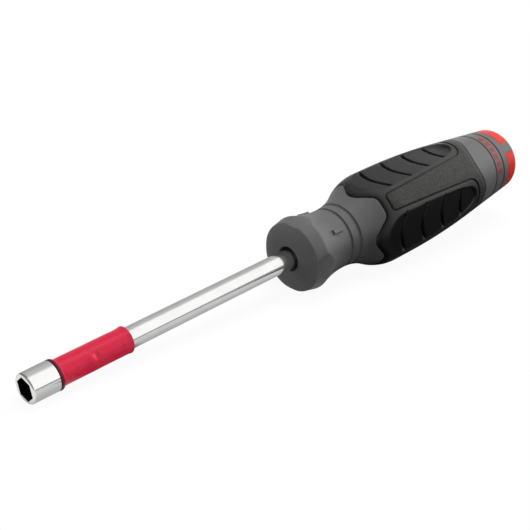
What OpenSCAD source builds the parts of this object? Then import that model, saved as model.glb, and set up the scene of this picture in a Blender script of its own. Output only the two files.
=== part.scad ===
// Nut driver with a moulded three-shot handle.
// The tool's axis is X: the socket's front face is at x = 0 and opens towards -X,
// the handle lies towards +X, and +Z is up as the tool lies on a bench.
// Handle stations named ..._at are counted from the handle's front face.

/* [Socket] */
// Hex opening across its flats
hex_af = 6.4; // [5.6:0.1:7]
// Depth of the hex opening
hex_depth = 6; // [4.5:0.1:7]
// Thickness of the web between the hex and the shank's seat
web_t = 0.6; // [0.4:0.1:1]
// Outside diameter of the socket
socket_d = 9.3; // [9:0.1:12]
// Length of the socket
socket_l = 9.6; // [9:0.1:14]
// Width of the round lead-in at the middle of the hex's sides
lead_in = 0.3; // [0.15:0.05:0.4]
// Radius of the socket's front rim
rim_round = 0.5; // [0.2:0.05:0.6]
// Bevel at the socket's rear edge
rear_bevel = 0.8; // [0.4:0.1:1]

/* [Shank] */
// Outside diameter of the shank
shank_d = 6.7; // [6.2:0.1:7.2]
// Diameter of the bore that clears a long stud
stud_bore_d = 4.4; // [4.1:0.1:4.8]
// Depth of the stud bore in the shank
stud_bore_l = 90; // [40:1:92]
// Reach from the socket's front face to the handle
reach = 101.6; // [100:0.1:160]
// Length of the tang inside the handle
tang_l = 58; // [50:1:70]
// Height of the tang's wings above the shank
wing_h = 1.6; // [0.8:0.1:2.4]
// Length of each wing
wing_l = 18; // [8:1:22]
// Thickness of each wing
wing_t = 2; // [1.2:0.1:3]

/* [Sleeve] */
// Length of the colour sleeve along the shank
sleeve_l = 25.5; // [15:0.5:60]
// Wall of the colour sleeve
sleeve_wall = 0.75; // [0.5:0.05:1.2]
// How far the front lip stands proud of the socket
lip_rise = 0.08; // [0.02:0.02:0.3]
// Rise of the rolled rear end
tail_roll = 0.22; // [0.1:0.02:0.4]

/* [Handle] */
// Radius of the flat front face
face_r = 8.3; // [7.5:0.1:9]
// Rounding between the front face and the bolster's land
edge_round = 4.5; // [3.5:0.1:5]
// Length of the bolster up to the rear edge of its land
bolster_l = 6.4; // [6:0.1:9]
// Distance of the bolster's four flats from the axis
flat_r = 12; // [11.4:0.1:12.4]
// Place of the neck's waist
neck_at = 19.1; // [17:0.1:24]
// Radius of the neck's waist
neck_r = 10.45; // [10:0.05:11]
// Place where the belly reaches its full radius
belly_at = 41.5; // [39:0.1:46]
// Radius of the belly
belly_r = 16.4; // [15.6:0.1:17.5]
// Length of the belly's straight stretch
belly_l = 7; // [2:0.5:12]
// Length of the tail's straight taper, counted from the rear edge
taper_l = 29.5; // [26:0.5:36]
// Slope of the tail's taper in degrees
taper_angle = 6.2; // [4:0.1:7]
// Length of the handle up to its rear edge
handle_l = 112; // [108:0.5:120]
// Rounding of the handle's rear edge
butt_round = 3; // [2:0.1:3.5]
// Height of the butt's dome
butt_dome = 1; // [0.5:0.1:2]
// Diameter of the hole that the shank enters
entry_d = 8.4; // [7.8:0.1:9.4]
// Depth of that hole
entry_l = 9; // [5:0.5:12]

/* [Core] */
// Radius of the core inside the shell
core_r = 7.3; // [6.6:0.1:7.6]
// Length of the core's head that shows at the butt
head_l = 6.9; // [5.5:0.1:8]
// Width of the shell's two strips across the head
strip_w = 3.7; // [2:0.1:5]
// Depth of those strips
strip_t = 2.2; // [1.5:0.1:3]

/* [Shell details] */
// Place of the first neck groove
neck_groove_at = 19.6; // [18.5:0.1:21]
// Distance between the two neck grooves
neck_groove_pitch = 3.9; // [3:0.1:5]
// Distance of the first tail groove from the rear edge
tail_groove_back = 15.8; // [15:0.1:17.5]
// Distance between the two tail grooves
tail_groove_pitch = 5.4; // [3:0.1:6]
// Radius of each groove's round bottom
groove_r = 0.4; // [0.25:0.05:0.6]
// Length of the raised index bars
bar_l = 4.8; // [3:0.1:5.2]
// Width of the index bars
bar_w = 1.4; // [0.8:0.1:2]
// Rise of the index bars above the neck
bar_rise = 0.5; // [0.3:0.1:0.8]
// Place of the index bars
bar_at = 12.5; // [12:0.1:13]

/* [Grip] */
// Thickness of the soft grip at its rims
grip_t = 3; // [2.8:0.1:3.4]
// Front end of the grip's lobes
lobe_at = 29.4; // [28.6:0.1:30]
// Radius of a lobe's round nose
lobe_round = 4.2; // [3:0.1:5]
// Lean of a lobe's sides from the tool's axis in degrees
lobe_lean = 52; // [45:1:60]
// Tip of the shell's tongues between the lobes
tongue_at = 34.2; // [33.5:0.1:35]
// Rounding of a tongue's corners
tongue_round = 4; // [2:0.1:5]
// Length of the tail behind the textured panels
tail_l = 26.8; // [25:0.1:27.6]
// How much further back the rear edge runs at the sides
rear_wave = 3.6; // [3:0.1:6]
// Depth of the flat finger recesses along their middle
recess_t = 1.7; // [1.4:0.1:1.8]
// Front end of a recess behind the lobe's front end
recess_rim = 1.6; // [1.2:0.1:2.2]
// Half width of a recess at its front end
recess_front_w = 5; // [4:0.1:5.6]
// Place of a recess's widest point
recess_wide_at = 46; // [43:0.1:50]
// Half width of a recess at its widest point
recess_wide_w = 7; // [6:0.1:7.4]
// Distance from a recess's rear end to the tail
recess_back = 2.9; // [2.5:0.1:4.8]
// Half width of a recess at its rear end
recess_end_w = 5.2; // [4:0.1:5.4]
// Bowed grooves across each recess
bow_count = 4; // [2:1:5]
// Place of the first bowed groove's ends
bow_at = 41.6; // [41:0.1:44]
// Distance from one bowed groove to the next
bow_pitch = 10.85; // [8:0.05:11]
// Width of a bowed groove
bow_w = 1; // [0.7:0.1:1.4]
// Radius of its bow
bow_r = 15; // [12:0.5:20]
// Depth of a bowed groove below the recess
bow_t = 0.6; // [0.3:0.05:0.7]
// How far its ends run out past the recess
bow_over = 0.4; // [0.1:0.1:0.6]
// Front edge of the textured panels
panel_at = 37.2; // [36.6:0.1:38.5]
// Half width of a panel at its front edge
panel_front_w = 3.2; // [2.4:0.1:3.4]
// Half width of a panel at its rear corners
panel_rear_w = 5.1; // [4.4:0.1:5.4]
// Distance from the groove round the sides to the tail
panel_back = 1.4; // [1:0.1:1.9]
// Rounding of the corners where a panel meets the rear band
panel_round = 6; // [4:0.1:6.5]
// Width of the groove round the panels
seam_w = 0.5; // [0.3:0.05:0.8]
// Depth of that groove
seam_t = 0.5; // [0.3:0.05:0.8]

/* [Fits] */
// Clearance between pieces that are pressed or moulded together
fit = 0.05; // [0.02:0.01:0.08]

/* [Hidden] */
$fn = 96;
socket_r = socket_d / 2;
shank_r = shank_d / 2;
seat_at = hex_depth + web_t;
hex_r = hex_af / sqrt(3);
mouth_r = hex_af / 2 + lead_in;
lip_r = socket_r + lip_rise;
sleeve_r = shank_r + fit + sleeve_wall;
crest_r = face_r + edge_round;
shell_l = handle_l - head_l;
core_at = entry_l + fit;
panel_turn = 45;
sides = 4;
faces = 2;
// How far cutting shapes run past the surfaces that they cut
lap = 1;
reach_out = belly_r + 4 * lap;

// Share of the first arc in each double bend of the profile
crest_share = 0.08;
neck_share = 0.63;
// Profile steps along each bend
bend_steps = 8;

taper_at = handle_l - taper_l;
rear_at = handle_l - tail_l;
recess_end_at = rear_at - recess_back;
panel_end_at = rear_at - panel_back;
tail_groove_at = handle_l - tail_groove_back;
back_at = belly_at + belly_l;
back_r = (taper_at - back_at) / sin(taper_angle);
taper_r = belly_r - back_r * (1 - cos(taper_angle));
grip_end = rear_at + rear_wave + lap;
butt_at = handle_l - butt_round;
butt_r = taper_r - (butt_at - taper_at) * tan(taper_angle);

// Height lost by an arc of radius r over a run
function sag(run, r) = r - sqrt(max(0, r * r - run * run));

// Radius on a double bend from [a, ra] to [b, rb], level at both ends
function bend(h, a, ra, b, rb, share) =
    let (
        angle = 2 * atan(abs(rb - ra) / (b - a)),
        both = (b - a) / sin(angle),
        knee = a + (b - a) * share,
        way = sign(rb - ra)
    )
    h < knee ? ra + way * sag(h - a, both * share) : rb - way * sag(b - h, both * (1 - share));

// Outer radius of the handle at h from its front face
function handle_r(h) =
    h < edge_round ? crest_r - sag(edge_round - h, edge_round) :
    h < bolster_l ? crest_r :
    h < neck_at ? bend(h, bolster_l, crest_r, neck_at, neck_r, crest_share) :
    h < belly_at ? bend(h, neck_at, neck_r, belly_at, belly_r, neck_share) :
    h < back_at ? belly_r :
    h < taper_at ? belly_r - sag(h - back_at, back_r) :
    h < butt_at ? taper_r - (h - taper_at) * tan(taper_angle) :
    butt_r - sag(h - butt_at, butt_round);

// Points on an arc round a centre, from angle a to angle b
function arc(centre, r, a, b, n) =
    [for (i = [0 : n]) let (t = a + (b - a) * i / n) centre + r * [cos(t), sin(t)]];

// Stations that divide a stretch of the profile into equal steps
function steps(a, b, n) = [for (i = [0 : n - 1]) a + (b - a) * i / n];

// Stations on a quarter round, closer where it is steep
function edge_steps(r, n) = [for (i = [0 : n - 1]) r * (1 - cos(90 * i / n))];

profile_stations = concat(
    edge_steps(edge_round, bend_steps),
    [edge_round],
    steps(bolster_l, bolster_l + (neck_at - bolster_l) * crest_share, 2),
    steps(bolster_l + (neck_at - bolster_l) * crest_share, neck_at, bend_steps),
    steps(neck_at, belly_at, 2 * bend_steps),
    [belly_at],
    steps(back_at, taper_at, bend_steps),
    [taper_at],
    [for (s = edge_steps(butt_round, bend_steps)) handle_l - s]
);

function between(a, b) = [for (h = profile_stations) if (h > a + 0.01 && h < b - 0.01) h];

function sorted(list) = len(list) < 2 ? list :
    let (mid = list[floor(len(list) / 2)])
    concat(
        sorted([for (v = list) if (v < mid) v]),
        [for (v = list) if (v == mid) v],
        sorted([for (v = list) if (v > mid) v])
    );

function stations(a, b) = concat([a], sorted(between(a, b)), [b]);

// Turn a solid drawn round Z so that it lies round the tool's axis
module along_axis(at = 0) {
    translate([at, 0, 0]) rotate([0, 90, 0]) children();
}

// The handle's outline, moved inwards, as a solid of revolution from a to b
module handle_body(a, b, inwards = 0) {
    along_axis(reach) rotate_extrude()
        polygon(concat(
            [[0, a]],
            [for (h = stations(a, b)) [handle_r(h) - inwards, h]],
            [[0, b]]
        ));
}

// The handle's outline, moved inwards, as a bar that is flat from side to side
module flat_body(a, b, inwards) {
    translate([reach, 0, 0]) rotate([90, 0, 0]) linear_extrude(2 * reach_out, center = true)
        polygon(concat([[a, 0]], [for (h = stations(a, b)) [h, handle_r(h) - inwards]], [[b, 0]]));
}

// An outline in the plane of X and Y, raised from the axis towards +Z
module raised(from = 0) {
    translate([reach, 0, from]) linear_extrude(reach_out - from) children();
}

// Copies at the four panel planes and at the four recesses between them
module at_panels(count) {
    for (i = [0 : count - 1]) rotate([panel_turn + i * 360 / count, 0, 0]) children();
}

module at_recesses() {
    for (i = [0 : sides - 1]) rotate([i * 360 / sides, 0, 0]) children();
}

// Front boundary of the grip in one lobe: a round nose, leaning sides and
// the rounded corners of the tongues beside it
module lobe_outline(margin) {
    nose_r = lobe_round + margin;
    corner_r = tongue_round - margin;
    tip = tongue_at - margin;
    start = lobe_at + lobe_round;
    touch = [start - nose_r * sin(lobe_lean), nose_r * cos(lobe_lean)];
    corner_w = touch.y + (tip - touch.x) * tan(lobe_lean) + corner_r * tan((90 - lobe_lean) / 2);
    half = concat(
        arc([start, 0], nose_r, 180, 90 + lobe_lean, bend_steps),
        arc([tip - corner_r, corner_w], corner_r, lobe_lean - 90, 0, bend_steps / 2),
        [[tip + lap, corner_w]]
    );
    polygon(concat(half, [for (i = [len(half) - 1 : -1 : 1]) [half[i].x, -half[i].y]]));
}

// A recess, enlarged by a margin: round ends joined by straight sides
module recess_outline(margin = 0) {
    front = lobe_at + recess_rim + recess_front_w;
    end = recess_end_at - recess_end_w;
    front_w = recess_front_w + margin;
    wide_w = recess_wide_w + margin;
    end_w = recess_end_w + margin;
    translate([front, 0]) circle(front_w);
    translate([end, 0]) circle(end_w);
    polygon([
        [front, front_w], [recess_wide_at, wide_w], [end, end_w],
        [end, -end_w], [recess_wide_at, -wide_w], [front, -front_w]
    ]);
}

// The grooves across one recess, bowed towards the socket
module bow_outline() {
    rise = bow_r - sag(recess_wide_w, bow_r);
    for (i = [0 : bow_count - 1]) translate([bow_at + i * bow_pitch + rise, 0]) difference() {
        circle(bow_r + bow_w / 2);
        circle(bow_r - bow_w / 2);
        translate([-rise + bow_w, -2 * bow_r]) square(4 * bow_r);
    }
}

// Groove round a textured panel: its front edge, its two sides and the round
// corners where the panel runs into the rear band
module seam_outline() {
    knee = panel_end_at - panel_round;
    for (side = [0, 1]) mirror([0, side]) {
        polygon([
            [panel_at, 0], [panel_at, panel_front_w], [knee, panel_rear_w], [knee, panel_rear_w - seam_w],
            [panel_at + seam_w, panel_front_w - seam_w], [panel_at + seam_w, 0]
        ]);
        intersection() {
            translate([knee, panel_rear_w + panel_round]) difference() {
                circle(panel_round + seam_w);
                circle(panel_round);
            }
            translate([knee, panel_rear_w - seam_w]) square(panel_round + seam_w);
        }
    }
}

// Space that the soft grip takes out of the handle, enlarged by a margin
module grip_space(margin) {
    difference() {
        union() {
            handle_body(tongue_at - margin, grip_end, -lap);
            intersection() {
                at_recesses() raised() lobe_outline(margin);
                handle_body(lobe_at - lap, tongue_at + lap, -lap);
            }
        }
        handle_body(lobe_at - 2 * lap, grip_end + lap, grip_t + margin);
        rear_nose(margin);
    }
}

// The shell's rear edge runs forward to a round nose behind each panel
module rear_nose(margin) {
    side_r = handle_r(rear_at + rear_wave);
    nose_r = (side_r * side_r + rear_wave * rear_wave) / (2 * rear_wave);
    rotate([panel_turn, 0, 0])
        translate([reach + rear_at + nose_r + margin, 0, -reach_out])
        cylinder(r = nose_r, h = 2 * reach_out);
}

module groove(at) {
    along_axis(reach + at) rotate_extrude() translate([handle_r(at), 0]) circle(groove_r, $fn = 32);
}

module drive_socket() {
    rim = [socket_r - rim_round, rim_round];
    color("gainsboro") difference() {
        along_axis() rotate_extrude() polygon(concat(
            [[0, 0]],
            arc(rim, rim_round, -90, 0, bend_steps / 2),
            [[socket_r, socket_l - rear_bevel], [socket_r - rear_bevel, socket_l], [0, socket_l]]
        ));
        rotate([panel_turn, 0, 0]) along_axis(-lap) cylinder(r = hex_r, h = hex_depth + lap, $fn = 6);
        along_axis(-lap) cylinder(r1 = mouth_r + lap, r2 = 0, h = mouth_r + lap);
        along_axis() cylinder(d = stud_bore_d, h = socket_l);
        along_axis(seat_at) cylinder(r = shank_r + fit, h = socket_l);
    }
}

// The shank's round bar with the wings that lock it in the core
module shank_bar(margin) {
    tang_end = reach + tang_l + margin;
    along_axis(seat_at + fit) cylinder(r = shank_r + margin, h = tang_end - seat_at - fit);
    wing_at = reach + tang_l - 2 * wing_l;
    wing_r = shank_r + wing_h + margin;
    for (turn = [0, 90]) rotate([turn, 0, 0])
        translate([wing_at + (turn > 0 ? wing_l / 2 : 0), 0, 0])
        linear_extrude(wing_t + 2 * margin, center = true)
        polygon([
            [-margin, -shank_r], [-margin, shank_r],
            [wing_h - margin, wing_r], [wing_l - wing_h + margin, wing_r],
            [wing_l + margin, shank_r], [wing_l + margin, -shank_r],
            [wing_l - wing_h + margin, -wing_r], [wing_h - margin, -wing_r]
        ]);
}

module shank() {
    color("silver") difference() {
        shank_bar(0);
        along_axis(seat_at + fit - lap) cylinder(d = stud_bore_d, h = stud_bore_l + lap);
    }
}

// A thin sleeve whose front lip rides up on the socket's rear bevel
module colour_sleeve() {
    inner_r = shank_r + fit;
    seat = socket_l + fit;
    front = socket_l - rear_bevel / 2;
    rear = front + sleeve_l;
    color("crimson") along_axis() rotate_extrude() polygon([
        [inner_r, seat], [socket_r - rear_bevel + fit, seat],
        [socket_r - rear_bevel / 2 + fit, front + fit], [socket_r - rear_bevel / 4, front],
        [lip_r, front + fit], [lip_r, front + rear_bevel], [sleeve_r, front + 2 * rear_bevel],
        [sleeve_r, rear - 6 * tail_roll], [sleeve_r + tail_roll, rear - tail_roll],
        [sleeve_r + tail_roll / 2, rear], [inner_r, rear]
    ]);
}

module strip_bars(margin) {
    top_r = handle_r(shell_l);
    at_panels(faces) translate([reach + shell_l - lap, -strip_w / 2 - margin, top_r - strip_t - margin])
        cube([head_l + butt_dome + 2 * lap, strip_w + 2 * margin, strip_t + 2 * lap]);
}

// The core is moulded round the tang and shows as a domed head at the butt
module handle_core() {
    color("tomato") difference() {
        union() {
            along_axis(reach + core_at) cylinder(r = core_r, h = shell_l - core_at + lap);
            along_axis(reach) rotate_extrude() polygon(concat(
                [[0, shell_l + fit]],
                [for (h = stations(shell_l + fit, handle_l)) [handle_r(h), h]],
                dome_points()
            ));
        }
        shank_bar(fit);
        strip_bars(fit);
    }
}

// Half outline of the butt's dome, from its rim to the small flat round the axis
function dome_points() =
    let (
        rim_r = handle_r(handle_l),
        dome_r = (rim_r * rim_r + butt_dome * butt_dome) / (2 * butt_dome),
        rim_angle = acos(rim_r / dome_r),
        points = arc([0, handle_l + butt_dome - dome_r], dome_r, rim_angle, 90, bend_steps)
    )
    concat([for (i = [1 : bend_steps - 1]) points[i]], [[0, points[bend_steps - 1][1]]]);

module index_bars() {
    intersection() {
        handle_body(bar_at - lap, bar_at + bar_l + lap, -bar_rise);
        for (turn = [-90, 0, 90]) rotate([turn - panel_turn, 0, 0])
            translate([reach + bar_at, -bar_w / 2, neck_r - lap])
            cube([bar_l, bar_w, crest_r]);
    }
}

module bolster_flats() {
    at_recesses() translate([reach - lap, -crest_r, flat_r]) cube([neck_at, 2 * crest_r, crest_r]);
}

module handle_shell() {
    color("dimgray") difference() {
        union() {
            handle_body(0, shell_l);
            intersection() {
                handle_body(shell_l - lap, handle_l);
                strip_bars(0);
            }
            index_bars();
        }
        along_axis(reach + entry_l) cylinder(r = core_r + fit, h = shell_l - entry_l + lap);
        along_axis(reach - lap) cylinder(d = entry_d, h = entry_l + 2 * lap);
        bolster_flats();
        for (i = [0, 1]) groove(neck_groove_at + i * neck_groove_pitch);
        for (i = [0, 1]) groove(tail_groove_at + i * tail_groove_pitch);
        grip_space(0);
    }
}

// The panels' groove, cut to one depth below the rounded surface
module panel_seam() {
    difference() {
        union() {
            at_panels(faces) raised() seam_outline();
            side_seam();
        }
        handle_body(panel_at - lap, grip_end + lap, seam_t);
    }
}

// The groove's run round both sides, between the panels' corners
module side_seam() {
    difference() {
        along_axis(reach + panel_end_at) cylinder(r = reach_out, h = seam_w);
        at_panels(faces) translate([reach, -panel_rear_w - panel_round, 0])
            cube([handle_l, 2 * (panel_rear_w + panel_round), reach_out]);
    }
}

// The flat finger recesses and the deeper grooves across them
module recesses() {
    at_recesses() {
        difference() {
            raised() recess_outline();
            flat_body(lobe_at, recess_end_at + lap, recess_t);
        }
        difference() {
            raised() intersection() {
                recess_outline(bow_over);
                bow_outline();
            }
            flat_body(lobe_at, recess_end_at + lap, recess_t + bow_t);
        }
    }
}

module soft_grip() {
    color([0.13, 0.13, 0.12]) difference() {
        intersection() {
            handle_body(lobe_at - lap, grip_end);
            grip_space(-fit);
        }
        recesses();
        panel_seam();
    }
}

drive_socket();
shank();
colour_sleeve();
handle_core();
handle_shell();
soft_grip();
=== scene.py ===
import math

import bpy
import numpy as np
from mathutils import Matrix, Vector


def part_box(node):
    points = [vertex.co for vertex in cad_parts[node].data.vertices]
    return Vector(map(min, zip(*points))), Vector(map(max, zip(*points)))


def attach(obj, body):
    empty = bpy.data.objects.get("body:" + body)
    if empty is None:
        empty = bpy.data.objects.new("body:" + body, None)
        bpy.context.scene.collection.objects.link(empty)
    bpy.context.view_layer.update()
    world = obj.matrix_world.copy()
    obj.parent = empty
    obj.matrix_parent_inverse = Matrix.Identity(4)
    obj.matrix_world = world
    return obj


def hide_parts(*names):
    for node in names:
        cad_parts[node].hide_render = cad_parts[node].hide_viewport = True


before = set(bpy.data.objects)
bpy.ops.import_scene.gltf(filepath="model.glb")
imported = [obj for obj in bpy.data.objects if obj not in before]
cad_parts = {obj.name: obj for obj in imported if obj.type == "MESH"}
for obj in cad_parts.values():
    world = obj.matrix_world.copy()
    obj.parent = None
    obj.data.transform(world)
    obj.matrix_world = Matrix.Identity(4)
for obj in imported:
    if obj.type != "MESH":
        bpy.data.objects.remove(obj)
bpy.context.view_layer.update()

# Sizes are in millimetres, stations h run from the handle's front face, and
# angles ("turn") are in degrees round the tool's axis: 0 faces -Y and 90 faces +Z.
# Meshes are written in metres.
MM = 0.001


def node_box(node):
    """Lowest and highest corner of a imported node, in millimetres."""
    return [np.array(corner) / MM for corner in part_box(node)]


# Socket
SOCKET_L = node_box("drive_socket")[1][0]
SOCKET_R = node_box("drive_socket")[1][2]
HEX_AF = 6.4
HEX_DEPTH = 6.0
WEB_T = 0.6
LEAD_IN = 0.12
RIM_ROUND = 0.75
REAR_BEVEL = 0.8
BEVEL_ROUND = 0.06
HEX_TURN = 45

# Shank
SHANK_R = 3.35
STUD_R = 2.2
STUD_L = 90.0
TANG_L = 58.0
WING_H = 1.6
WING_L = 18.0
WING_HALF_TURN = 16

# Sleeve
SLEEVE_L = 25.5
SLEEVE_R = 4.03
SLEEVE_EDGE = 0.2
LIP_R = 4.73
LIP_L = 0.7
LIP_END = 1.54
TAIL_ROLL = 0.22
TAIL_L = 2.2
WAVE_T = 0.02
DENT_AT = 21.9
DENT_TURN = 33
DENT_T = 0.4
DENT_L = 0.8
DENT_W = 1.1
SWELL_BEFORE = 1.9
SWELL_ASIDE = 0.3
SWELL_T = 0.24
SWELL_SIZE = 1.4

# Handle outline
REACH = node_box("handle_shell")[0][0]
FACE_R = 6.3
DOME_R = 10.8
FOLD_AT = 1.5
FOLD_R = 11.8
FOLD_BLEND = 0.35
BAND_SLOPE = 0.2
CREST_AT = 6.0
CREST_R = FOLD_R + BAND_SLOPE * (CREST_AT - FOLD_AT)
CREST_BLEND = 0.3
FLAT_AT = 6.6
FLAT_R = 11.8
FLAT_CROWN_R = 35.0
FLAT_END_AT = 11.0
FLAT_BLEND = 0.1
NECK_AT = 19.1
NECK_R = 10.45
NECK_SHARE = 0.63
BELLY_AT = 41.5
BELLY_R = 16.4
BELLY_L = 7.0
TAPER_AT = 82.5
TAPER_ANGLE = math.radians(6.2)
HANDLE_L = 112.0
BUTT_ROUND = 3.0
BUTT_DOME = 1.0
ENTRY_R = 4.2
ENTRY_L = 9.0

# Core and the shell's strips across its head
CORE_R = 7.3
HEAD_L = 6.9
SHELL_L = HANDLE_L - HEAD_L
STRIP_W = 3.7
STRIP_T = 2.2
WINDOW_ROUND = 0.9

# Shell details
NECK_GROOVES = (19.6, 23.5)
TAIL_GROOVES = (96.2, 101.6)
BAND_AT = 94.3
NECK_GROOVE_R = 0.62
TAIL_GROOVE_R = 0.42
BAR_AT = 12.5
BAR_L = 4.8
BAR_W = 1.4
BAR_RISE = 0.75
BAR_SIDE_EDGE = 0.1
BAR_END_EDGE = 0.15
BARE_TURN = 315

# Grip
PANEL_TURN = 45
GRIP_T = 3.0
LOBE_AT = 29.4
LOBE_ROUND = 4.2
LOBE_LEAN = math.radians(52)
TONGUE_AT = 34.2
TONGUE_ROUND = 4.0
FRONT_RIM = 0.9
REAR_AT = 85.2
REAR_WAVE = 3.3
REAR_SIDE = 51.5
REAR_RIM = 0.2

# Finger recesses: their sides are steep in front and soften from RECESS_SOFT_AT to RECESS_SOFT_END
RECESS_FLOOR_AT = 52.0
RECESS_FLOOR_R = 14.74
RECESS_BOW_R = 470.0
RECESS_RIM = 1.6
RECESS_FRONT_W = 7.0
RECESS_WIDE_AT = 46.0
RECESS_WIDE_W = 7.8
RECESS_END_AT = 82.3
RECESS_END_W = 5.3
RECESS_SOFT_AT = 70
RECESS_SOFT_END = 80
RECESS_SLOPE = 1.7
RECESS_SOFT_SLOPE = 0.9
RECESS_INSET = 0.1
RECESS_SOFT_INSET = 1.4
RECESS_BLEND = 0.2

# Bowed grooves across the recesses
BOW_COUNT = 4
BOW_AT = 42.06
BOW_PITCH = 10.85
BOW_W = 1.2
BOW_EDGE = 0.3
BOW_R = 15.0
BOW_T = 1.25
BOW_OVER = 0.3
BOW_FULL = 0.5

# Textured panels: their rise fades away between two angles from a panel's middle.
# An edge or fade is a pair of distances between which a value goes from 0 to 1.
PANEL_AT = 37.0
PANEL_FRONT_W = 2.95
PANEL_REAR_W = 4.75
PANEL_END_AT = 83.7
PANEL_ROUND = 6.0
PANEL_CORNER = 0.9
PANEL_RISE = 0.22
PANEL_FADE_TURN = 50
PANEL_END_TURN = 72
PANEL_EDGE = (-0.1, 0.2)
PANEL_REAR_FADE = (0.3, 2.5)
GRAIN_EDGE = (-0.05, 0.2)
# Painted shade on the grip comes in with depth below the skin and fades out behind the lobes' front
# edge.
RECESS_SHADE_EDGE = (0.02, 0.2)
LOBE_SHADE_EDGE = (1.0, 2.6)
SEAM_W = 0.7
SEAM_T = 0.32
SEAM_FAR_SHARE = 0.5
SEAM_REACH = 0.6 * SEAM_W

# Plain red marks in the band between the tail grooves
MARK_COUNT = 6
MARK_W = 1.9
MARK_L = 2.7
MARK_PITCH = 2.83
MARK_RISE = 0.05
MARK_ROOT = 0.3

# Gap between pieces that fit together
FIT = 0.05

# Camera, as it stood for the photograph
CAMERA_LENS = 78.8
CAMERA_BACK = Vector((-0.613, -0.6195, 0.4905)).normalized()
CAMERA_ROLL = -0.0046
CAMERA_AIM = (92.0, 0.0, 0.0)
CAMERA_SHIFT = (-0.65, 1.45)
CAMERA_DISTANCE = 368.0

# Stage
LIGHT_AIM = (115, 0, 0)
FLOOR_HALF = 900.0
SLEEVE_SHADE_AT = 28.0
AMBIENT_LEVEL = 0.11
WALL_LEVEL = 1.44


# Formulas of the handle's surface

def sag(run, radius):
    """Height lost by an arc over a run."""
    return radius - np.sqrt(np.maximum(0.0, radius ** 2 - np.square(run)))


def bend(h, a, ra, b, rb, share):
    """Radius on a double bend from (a, ra) to (b, rb), level at both ends."""
    angle = 2 * math.atan(abs(rb - ra) / (b - a))
    both = (b - a) / math.sin(angle)
    way = math.copysign(1, rb - ra)
    first = ra + way * sag(h - a, both * share)
    second = rb - way * sag(b - h, both * (1 - share))
    return np.where(h < a + (b - a) * share, first, second)


def smooth_min(a, b, width):
    """The lower of two heights, blended where they are close."""
    share = np.clip(0.5 + 0.5 * (b - a) / width, 0, 1)
    return b + (a - b) * share - width * share * (1 - share)


def ease(value, low, high):
    """0 below low, 1 above high, smooth between."""
    t = np.clip((value - low) / (high - low), 0, 1)
    return t * t * (3 - 2 * t)


def plateau(distance, half, edge):
    """1 within half of the middle, falling to 0 over an edge."""
    return 1 - ease(np.abs(distance), half - edge / 2, half + edge / 2)


def fold(turn, period):
    """Angle from the nearest multiple of a period."""
    return (turn + period / 2) % period - period / 2


def from_recess(turn):
    """Angle from the middle of the nearest recess, in radians."""
    return np.radians(fold(turn, 90))


def from_panel(turn):
    """Angle from the middle of the nearest panel, in radians."""
    return np.radians(fold(turn - PANEL_TURN, 180))


def bolster_r(h):
    """Radius of the bolster: domed face, fold, conical band, crest and front of the neck."""
    dome = FACE_R + np.sqrt(np.maximum(0, DOME_R ** 2 - np.square(DOME_R - h)))
    band = FOLD_R + BAND_SLOPE * (h - FOLD_AT)
    run, fall = NECK_AT - CREST_AT, CREST_R - NECK_R
    neck = NECK_R + sag(NECK_AT - h, (run ** 2 + fall ** 2) / (2 * fall))
    return smooth_min(smooth_min(dome, band, FOLD_BLEND), neck, CREST_BLEND)


def handle_r(h):
    """Outer radius of the handle at a station."""
    h = np.asarray(h, float)
    back_at = BELLY_AT + BELLY_L
    back_r = (TAPER_AT - back_at) / math.sin(TAPER_ANGLE)
    taper_r = BELLY_R - back_r * (1 - math.cos(TAPER_ANGLE))
    butt_at = HANDLE_L - BUTT_ROUND
    butt_r = taper_r - (butt_at - TAPER_AT) * math.tan(TAPER_ANGLE)
    stretches = [
        (h < NECK_AT, bolster_r(h)),
        (h < BELLY_AT, bend(h, NECK_AT, NECK_R, BELLY_AT, BELLY_R, NECK_SHARE)),
        (h < back_at, BELLY_R + 0 * h),
        (h < TAPER_AT, BELLY_R - sag(h - back_at, back_r)),
        (h < butt_at, taper_r - (h - TAPER_AT) * math.tan(TAPER_ANGLE)),
    ]
    return np.select([s[0] for s in stretches], [s[1] for s in stretches],
                     butt_r - sag(h - butt_at, BUTT_ROUND))


def lobe_line(y):
    """Front edge of the grip at a distance y from a lobe's middle line."""
    start = LOBE_AT + LOBE_ROUND
    touch_h = start - LOBE_ROUND * math.sin(LOBE_LEAN)
    touch_y = LOBE_ROUND * math.cos(LOBE_LEAN)
    side = math.tan(LOBE_LEAN)
    corner_y = touch_y + (TONGUE_AT - touch_h) * side
    corner_y += TONGUE_ROUND * math.tan((math.pi / 2 - LOBE_LEAN) / 2)
    corner_from = corner_y - TONGUE_ROUND * math.cos(LOBE_LEAN)
    return np.select(
        [y < touch_y, y < corner_from, y < corner_y],
        [LOBE_AT + sag(y, LOBE_ROUND), touch_h + (y - touch_y) / side,
         TONGUE_AT - sag(corner_y - y, TONGUE_ROUND)],
        TONGUE_AT,
    )


def front_line(turn):
    """Station of the grip's front edge, found by repeated steps on the flaring neck."""
    h = np.full(np.shape(turn), LOBE_AT)
    for _ in range(8):
        h = lobe_line(handle_r(h) * np.abs(np.sin(from_recess(turn))))
    return h


def rear_line(turn):
    """Station of the grip's rear edge: a soft wave behind each panel."""
    way = np.minimum(np.abs(fold(turn - PANEL_TURN, 180)) / REAR_SIDE, 1)
    return REAR_AT + REAR_WAVE * (1 - np.cos(math.pi * way)) / 2


def ring_groove(h, at, radius):
    """Depth of a round-bottomed groove."""
    return np.sqrt(np.maximum(0, radius ** 2 - (h - at) ** 2))


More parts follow.
